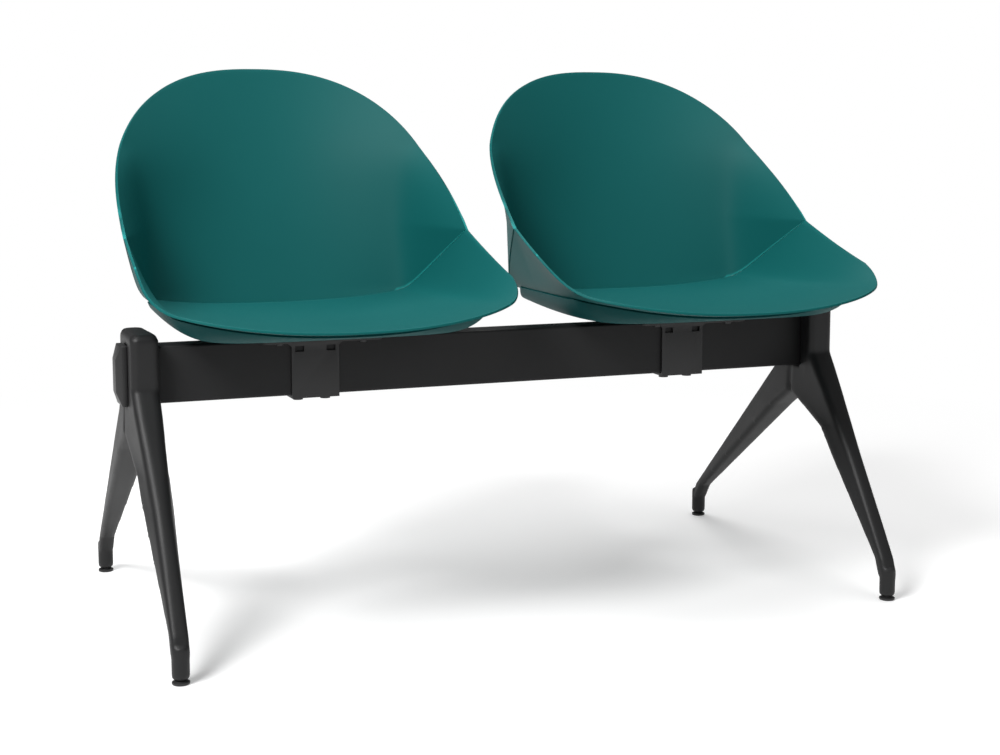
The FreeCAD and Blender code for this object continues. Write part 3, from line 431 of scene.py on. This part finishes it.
def merge_doubles(piece):
    take(piece)
    bpy.ops.object.mode_set(mode="EDIT")
    bpy.ops.mesh.select_all(action="SELECT")
    bpy.ops.mesh.remove_doubles(threshold=SKIN_MERGE)
    bpy.ops.object.mode_set(mode="OBJECT")


def make_moulding(piece, thickness, name, material, slot, node):
    """Give a seat's skin its thickness and rounded edges, and put it on its plate."""
    merge_doubles(piece)
    apply_modifier(piece, "SOLIDIFY", thickness=thickness, offset=-1.0)
    apply_modifier(piece, "BEVEL", width=min(EDGE_ROUND, EDGE_SHARE * thickness),
                   segments=BEVEL_SEGMENTS, limit_method="ANGLE",
                   angle_limit=math.radians(MOULDING_EDGE_ANGLE))
    smooth(piece, MOULDING_SMOOTH_ANGLE)
    put_on_plate(piece, name)
    finish_piece(piece, material, slot, "frame", f"{node}_{name}")


def make_seat(name, plastic, tray_plastic):
    back = mapped_grid(f"back_{name}", *BACK_GRID, back_shell_place)
    facing(back, Vector((0, -1, 0)), back_point(0, BACK_MIDDLE_HEIGHT))
    make_moulding(back, BACK_THICKNESS, name, plastic, "shell_plastic", "back_shell")
    seat = mapped_grid(f"seat_{name}", *SEAT_GRID, seat_shell_place)
    facing(seat, Vector((0, 0, 1)), Vector((0, 0, floor_height(0))))
    make_moulding(seat, SHELL_THICKNESS, name, plastic, "shell_plastic", "seat_shell")
    tray = mapped_grid(f"tray_{name}", *TRAY_GRID, tray_place)
    facing(tray, Vector((0, 0, 1)), Vector((0, 0, 0)))
    make_moulding(tray, TRAY_THICKNESS, name, tray_plastic, "tray_plastic", "seat_tray")


# Beam, brackets, caps and legs: a merged copy of the CAD node with its edges rounded

def merged_copy(node, name):
    deselect()
    source = frame["nodes"][node]
    piece = bpy.data.objects.new(name, source.data.copy())
    bpy.context.scene.collection.objects.link(piece)
    take(piece)
    bpy.ops.object.mode_set(mode="EDIT")
    bpy.ops.mesh.select_all(action="SELECT")
    bpy.ops.mesh.remove_doubles(threshold=CAD_MERGE)
    bpy.ops.mesh.dissolve_limited(angle_limit=math.radians(CAD_FLAT_ANGLE))
    bpy.ops.object.mode_set(mode="OBJECT")
    return piece


def make_rounded(node, name, width, material, slot):
    piece = merged_copy(node, name)
    apply_modifier(piece, "BEVEL", width=width, segments=BEVEL_SEGMENTS, limit_method="ANGLE",
                   angle_limit=math.radians(CAD_EDGE_ANGLE), use_clamp_overlap=True)
    smooth(piece, CAD_SMOOTH_ANGLE)
    finish_piece(piece, material, slot, "frame", node)


def make_leg(name, material):
    """The casting with its ridges softened, its size kept and its two bores cut again."""
    leg = merged_copy(f"leg_{name}", f"casting_{name}")
    apply_modifier(leg, "REMESH", mode="VOXEL", voxel_size=LEG_VOXEL, adaptivity=0.0)
    apply_modifier(leg, "SMOOTH", factor=LEG_SMOOTHING, iterations=LEG_FIRST_SMOOTHS)
    apply_modifier(leg, "DISPLACE", strength=LEG_SWELL, mid_level=0.0)
    apply_modifier(leg, "SMOOTH", factor=LEG_SMOOTHING, iterations=LEG_LAST_SMOOTHS)
    for end in ("front", "rear"):
        low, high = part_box(f"glide_stem_{end}_{name}")
        deselect()
        bpy.ops.mesh.primitive_cylinder_add(
            vertices=BORE_SIDES, radius=BORE_RADIUS, depth=BORE_DEPTH,
            location=((low[0] + high[0]) / 2, (low[1] + high[1]) / 2, BORE_MIDDLE))
        bore = bpy.context.object
        apply_modifier(leg, "BOOLEAN", operation="DIFFERENCE", object=bore, solver="EXACT")
        bpy.data.objects.remove(bore)
    smooth(leg, LEG_SMOOTH_ANGLE)
    finish_piece(leg, material, "cast_paint", "frame", f"leg_{name}")


# Shared effects, each a node group

def effect(name, outputs, inputs):
    """An empty shader group with float inputs and named outputs."""
    group = bpy.data.node_groups.new(name, "ShaderNodeTree")
    for label, value in inputs.items():
        socket = group.interface.new_socket(label, in_out="INPUT", socket_type="NodeSocketFloat")
        socket.default_value = value
    for label in outputs:
        group.interface.new_socket(label, in_out="OUTPUT", socket_type="NodeSocketFloat")
    entry = group.nodes.new("NodeGroupInput")
    leave = group.nodes.new("NodeGroupOutput")
    return group, entry, leave


def make_grain_effect():
    """Fine surface grain as a height, and slow patches as a mask."""
    group, entry, leave = effect("Surface grain", ("Height", "Patches"),
                                 {"Grain": 900.0, "Patch": 9.0})
    place = group.nodes.new("ShaderNodeTexCoord")
    fine = group.nodes.new("ShaderNodeTexNoise")
    fine.inputs["Detail"].default_value = FINE_DETAIL
    group.links.new(place.outputs["Object"], fine.inputs["Vector"])
    group.links.new(entry.outputs["Grain"], fine.inputs["Scale"])
    group.links.new(fine.outputs["Fac"], leave.inputs["Height"])
    broad = group.nodes.new("ShaderNodeTexNoise")
    broad.inputs["Detail"].default_value = PATCH_DETAIL
    broad.inputs["Roughness"].default_value = PATCH_ROUGHNESS
    group.links.new(place.outputs["Object"], broad.inputs["Vector"])
    group.links.new(entry.outputs["Patch"], broad.inputs["Scale"])
    group.links.new(broad.outputs["Fac"], leave.inputs["Patches"])


def make_edge_highlight_effect():
    """A mask that is high on outer edges, where a painted highlight lightens them."""
    group, entry, leave = effect("Painted edge highlight", ("Edges",), {"Strength": 1.0})
    geometry = group.nodes.new("ShaderNodeNewGeometry")
    ramp = group.nodes.new("ShaderNodeMapRange")
    ramp.inputs["From Min"].default_value = EDGE_POINTINESS[0]
    ramp.inputs["From Max"].default_value = EDGE_POINTINESS[1]
    group.links.new(geometry.outputs["Pointiness"], ramp.inputs["Value"])
    scale = group.nodes.new("ShaderNodeMath")
    scale.operation = "MULTIPLY"
    group.links.new(ramp.outputs["Result"], scale.inputs[0])
    group.links.new(entry.outputs["Strength"], scale.inputs[1])
    group.links.new(scale.outputs[0], leave.inputs["Edges"])


def mixed(nodes, links, factor, first, second):
    """A colour between two, by a mask."""
    mix = nodes.new("ShaderNodeMix")
    mix.data_type = "RGBA"
    mix.inputs["A"].default_value = (*first, 1.0)
    mix.inputs["B"].default_value = (*second, 1.0)
    links.new(factor, mix.inputs["Factor"])
    return mix


def make_finish(name, shade, patch_shade, edge_highlight_shade, grain, patch, roughness, bump, bump_depth,
                edge_highlight_strength, metallic=0.0, specular=0.5):
    """A painted or moulded finish: patches of random tone, a painted highlight that lightens the
    edges, grain in the bump.
    """
    material = bpy.data.materials.new(name)
    material.use_nodes = True
    nodes = material.node_tree.nodes
    links = material.node_tree.links
    shader = nodes["Principled BSDF"]
    surface = nodes.new("ShaderNodeGroup")
    surface.node_tree = bpy.data.node_groups["Surface grain"]
    surface.inputs["Grain"].default_value = grain
    surface.inputs["Patch"].default_value = patch
    edge_highlight = nodes.new("ShaderNodeGroup")
    edge_highlight.node_tree = bpy.data.node_groups["Painted edge highlight"]
    edge_highlight.inputs["Strength"].default_value = edge_highlight_strength
    base = mixed(nodes, links, surface.outputs["Patches"], shade, patch_shade)
    # Outer edges lightened towards the third colour: a painted highlight
    highlighted = mixed(nodes, links, edge_highlight.outputs["Edges"], shade, edge_highlight_shade)
    links.new(base.outputs["Result"], highlighted.inputs["A"])
    links.new(highlighted.outputs["Result"], shader.inputs["Base Color"])
    rough = nodes.new("ShaderNodeMapRange")
    rough.inputs["To Min"].default_value = roughness[0]
    rough.inputs["To Max"].default_value = roughness[1]
    links.new(surface.outputs["Patches"], rough.inputs["Value"])
    links.new(rough.outputs["Result"], shader.inputs["Roughness"])
    relief = nodes.new("ShaderNodeBump")
    relief.inputs["Strength"].default_value = bump
    relief.inputs["Distance"].default_value = bump_depth
    links.new(surface.outputs["Height"], relief.inputs["Height"])
    links.new(relief.outputs["Normal"], shader.inputs["Normal"])
    shader.inputs["Metallic"].default_value = metallic
    shader.inputs["Specular IOR Level"].default_value = specular
    return material


make_grain_effect()
make_edge_highlight_effect()
# Each finish's third colour is the painted highlight on its edges
shell_plastic = make_finish(
    "Teal shell plastic", (0.0028, 0.092, 0.091), (0.0036, 0.103, 0.101), (0.016, 0.270, 0.260),
    grain=1400.0, patch=5.0, roughness=(0.50, 0.60), bump=0.12, bump_depth=0.0002,
    edge_highlight_strength=0.9, specular=0.14)
tray_plastic = make_finish(
    "Teal tray plastic", (0.0026, 0.078, 0.078), (0.0032, 0.087, 0.087), (0.009, 0.140, 0.140),
    grain=1400.0, patch=5.0, roughness=(0.55, 0.65), bump=0.12, bump_depth=0.0002,
    edge_highlight_strength=0.4, specular=0.12)
beam_paint = make_finish(
    "Beam powder coat", (0.0085, 0.0085, 0.009), (0.011, 0.011, 0.0115), (0.022, 0.022, 0.023),
    grain=1800.0, patch=7.0, roughness=(0.50, 0.62), bump=0.25, bump_depth=0.0002,
    edge_highlight_strength=0.5, specular=0.30)
cast_paint = make_finish(
    "Casting powder coat", (0.010, 0.010, 0.0105), (0.014, 0.014, 0.0145), (0.030, 0.030, 0.031),
    grain=1300.0, patch=11.0, roughness=(0.44, 0.56), bump=0.35, bump_depth=0.0003,
    edge_highlight_strength=0.5, specular=0.35)
bracket_paint = make_finish(
    "Bracket powder coat", (0.0070, 0.0070, 0.0074), (0.0090, 0.0090, 0.0095),
    (0.020, 0.020, 0.021),
    grain=1800.0, patch=9.0, roughness=(0.48, 0.60), bump=0.25, bump_depth=0.0002,
    edge_highlight_strength=0.5)
black_plastic = make_finish(
    "Black cap plastic", (0.011, 0.011, 0.0115), (0.014, 0.014, 0.0145), (0.028, 0.028, 0.029),
    grain=1500.0, patch=8.0, roughness=(0.42, 0.52), bump=0.15, bump_depth=0.0002,
    edge_highlight_strength=0.5)
screw_steel = make_finish(
    "Blackened screw steel", (0.020, 0.020, 0.021), (0.026, 0.026, 0.027), (0.045, 0.045, 0.046),
    grain=900.0, patch=30.0, roughness=(0.28, 0.42), bump=0.10, bump_depth=0.0001,
    edge_highlight_strength=0.8, metallic=0.4)

for name in SIDES:
    make_seat(name, shell_plastic, tray_plastic)
    make_leg(name, cast_paint)
    make_rounded(f"end_cap_{name}", f"cap_{name}", CAP_ROUND, black_plastic, "cap_plastic")
    make_rounded(f"saddle_{name}", f"clasp_{name}", SADDLE_ROUND, bracket_paint,
                 "bracket_paint")
    make_rounded(f"support_plate_{name}", f"plate_{name}", PLATE_ROUND, bracket_paint,
                 "bracket_paint")
make_rounded("beam_tube", "beam", BEAM_ROUND, beam_paint, "beam_paint")

# Small CAD pieces keep their meshes and get their finishes
NODE_FINISHES = {
    "screw_steel": screw_steel,
    "cap_plastic": black_plastic,
    "glide_plastic": black_plastic,
}
for entry in frame["record"]["subparts"]:
    node = frame["nodes"][entry["node"]]
    finish = NODE_FINISHES.get(entry["material_slot"])
    if finish:
        node.data.materials.clear()
        node.data.materials.append(finish)


# Floor, light and camera

def camera_share(nodes, links):
    """1 for what the camera, a reflection or a clear body shows of a thing, otherwise 0."""
    rays = nodes.new("ShaderNodeLightPath")
    total = nodes.new("ShaderNodeMath")
    total.operation = "ADD"
    links.new(rays.outputs["Is Camera Ray"], total.inputs[0])
    links.new(rays.outputs["Is Glossy Ray"], total.inputs[1])
    all_rays = nodes.new("ShaderNodeMath")
    all_rays.operation = "ADD"
    all_rays.use_clamp = True
    links.new(total.outputs[0], all_rays.inputs[0])
    links.new(rays.outputs["Is Transmission Ray"], all_rays.inputs[1])
    return all_rays.outputs[0]


def make_floor():
    """A pale floor that takes soft shadows near the seats and is plain white far away."""
    deselect()
    bpy.ops.mesh.primitive_plane_add(size=FLOOR_SIZE, location=(0, 0, -FLOOR_DROP))
    floor = bpy.context.object
    floor.name = "floor"
    material = bpy.data.materials.new("Pale floor")
    material.use_nodes = True
    nodes = material.node_tree.nodes
    links = material.node_tree.links
    shader = nodes["Principled BSDF"]
    seen = camera_share(nodes, links)
    base = mixed(nodes, links, seen, FLOOR_SHADE, FLOOR_SEEN_SHADE)
    links.new(base.outputs["Result"], shader.inputs["Base Color"])
    shader.inputs["Roughness"].default_value = FLOOR_ROUGHNESS
    shader.inputs["Specular IOR Level"].default_value = 0.0
    place = nodes.new("ShaderNodeTexCoord")
    distance = nodes.new("ShaderNodeVectorMath")
    distance.operation = "LENGTH"
    links.new(place.outputs["Object"], distance.inputs[0])
    far = nodes.new("ShaderNodeMapRange")
    far.interpolation_type = "SMOOTHSTEP"
    far.inputs["From Min"].default_value = FLOOR_FADE[0]
    far.inputs["From Max"].default_value = FLOOR_FADE[1]
    links.new(distance.outputs["Value"], far.inputs["Value"])
    white = nodes.new("ShaderNodeMath")
    white.operation = "MULTIPLY"
    links.new(far.outputs["Result"], white.inputs[0])
    links.new(seen, white.inputs[1])
    glow = nodes.new("ShaderNodeEmission")
    glow.inputs["Color"].default_value = WHITE
    blend = nodes.new("ShaderNodeMixShader")
    links.new(white.outputs[0], blend.inputs["Fac"])
    links.new(shader.outputs["BSDF"], blend.inputs[1])
    links.new(glow.outputs["Emission"], blend.inputs[2])
    links.new(blend.outputs["Shader"], nodes["Material Output"].inputs["Surface"])
    lift = nodes.new("ShaderNodeMath")
    lift.operation = "MULTIPLY"
    lift.inputs[1].default_value = FLOOR_LIFT
    links.new(seen, lift.inputs[0])
    shader.inputs["Emission Color"].default_value = WHITE
    links.new(lift.outputs[0], shader.inputs["Emission Strength"])
    floor.data.materials.append(material)


def make_world():
    world = bpy.data.worlds.new("Studio")
    world.use_nodes = True
    bpy.context.scene.world = world
    nodes = world.node_tree.nodes
    links = world.node_tree.links
    backdrop = nodes["Background"]
    rays = nodes.new("ShaderNodeLightPath")
    strength = nodes.new("ShaderNodeMapRange")
    strength.inputs["To Min"].default_value = WORLD_STRENGTH
    strength.inputs["To Max"].default_value = 1.0
    links.new(rays.outputs["Is Camera Ray"], strength.inputs["Value"])
    links.new(strength.outputs["Result"], backdrop.inputs["Strength"])
    backdrop.inputs["Color"].default_value = WHITE


def make_lamp(name, place, aim, width, watts):
    deselect()
    bpy.ops.object.light_add(type="AREA", location=place)
    lamp = bpy.context.object
    lamp.name = name
    lamp.data.size = width
    lamp.data.energy = watts
    lamp.rotation_euler = (Vector(aim) - Vector(place)).to_track_quat("-Z", "Y").to_euler()


def make_camera():
    deselect()
    bpy.ops.object.camera_add(location=CAMERA_PLACE,
                              rotation=[math.radians(turn) for turn in CAMERA_TURN])
    camera = bpy.context.object
    camera.data.sensor_width = CAMERA_SENSOR
    camera.data.lens = CAMERA_LENS
    camera.data.shift_y = CAMERA_SHIFT_UP
    camera.data.clip_end = CAMERA_FAR
    bpy.context.scene.camera = camera


make_floor()
make_world()
for lamp_facts in LAMPS:
    make_lamp(*lamp_facts)
make_camera()
bpy.context.scene.view_settings.view_transform = "Standard"
